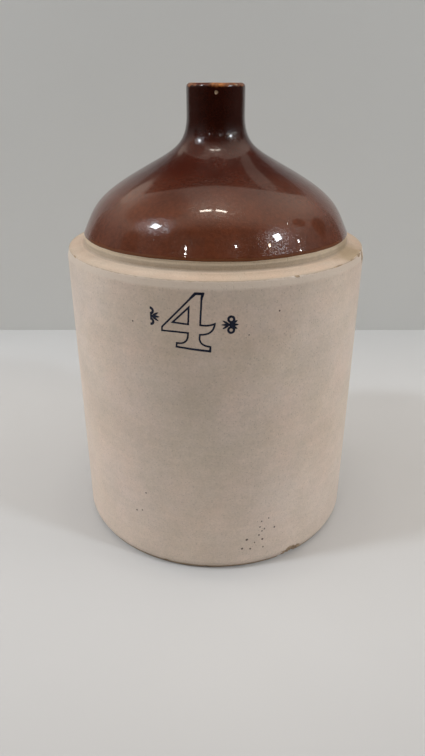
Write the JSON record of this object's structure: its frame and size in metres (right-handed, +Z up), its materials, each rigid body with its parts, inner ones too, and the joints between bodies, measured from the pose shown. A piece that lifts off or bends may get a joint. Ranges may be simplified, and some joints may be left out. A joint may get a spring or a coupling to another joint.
{
  "type": "stoneware jug",
  "caption": "Two-tone stoneware shoulder jug: pale cylindrical body with a stacking ledge, brown domed top, narrow neck, strap handle and a stamped capacity numeral.",
  "frame": {"origin": "centre of the foot, on the ground plane", "axes": "+Z up along the jug's axis, -Y towards the numeral at the front, the handle in the plane behind the neck towards +Y"},
  "size_m": [0.2742, 0.2744, 0.4135],
  "materials": {
    "bare_clay": "bare fired stoneware, matt",
    "ledge_clay": "bare fired stoneware, toasted cream, matt",
    "pale_glaze": "off-white glaze, satin",
    "rim_glaze": "thin greyish glaze, satin",
    "brown_glaze": "brown slip glaze, gloss",
    "liner_glaze": "brown slip glaze, semi-gloss",
    "blue_mark": "cobalt stamp under the glaze, satin"
  },
  "bodies": {
    "root": {"base_slab": "bare_clay", "floor_coil": "bare_clay", "body_wall": "bare_clay", "shoulder_ring": "ledge_clay", "seam_coil": "bare_clay", "shoulder_dome": "ledge_clay", "neck_tube": "bare_clay", "lip_ring": "bare_clay", "handle_strap": "bare_clay", "handle_upper_root": "bare_clay", "handle_lower_root": "bare_clay", "handle_glaze": "brown_glaze", "body_glaze": "pale_glaze", "rim_glaze": "rim_glaze", "top_glaze": "brown_glaze", "liner_glaze": "liner_glaze", "capacity_numeral": "blue_mark", "ornament_left": "blue_mark", "ornament_right": "blue_mark"}
  },
  "joints": []
}
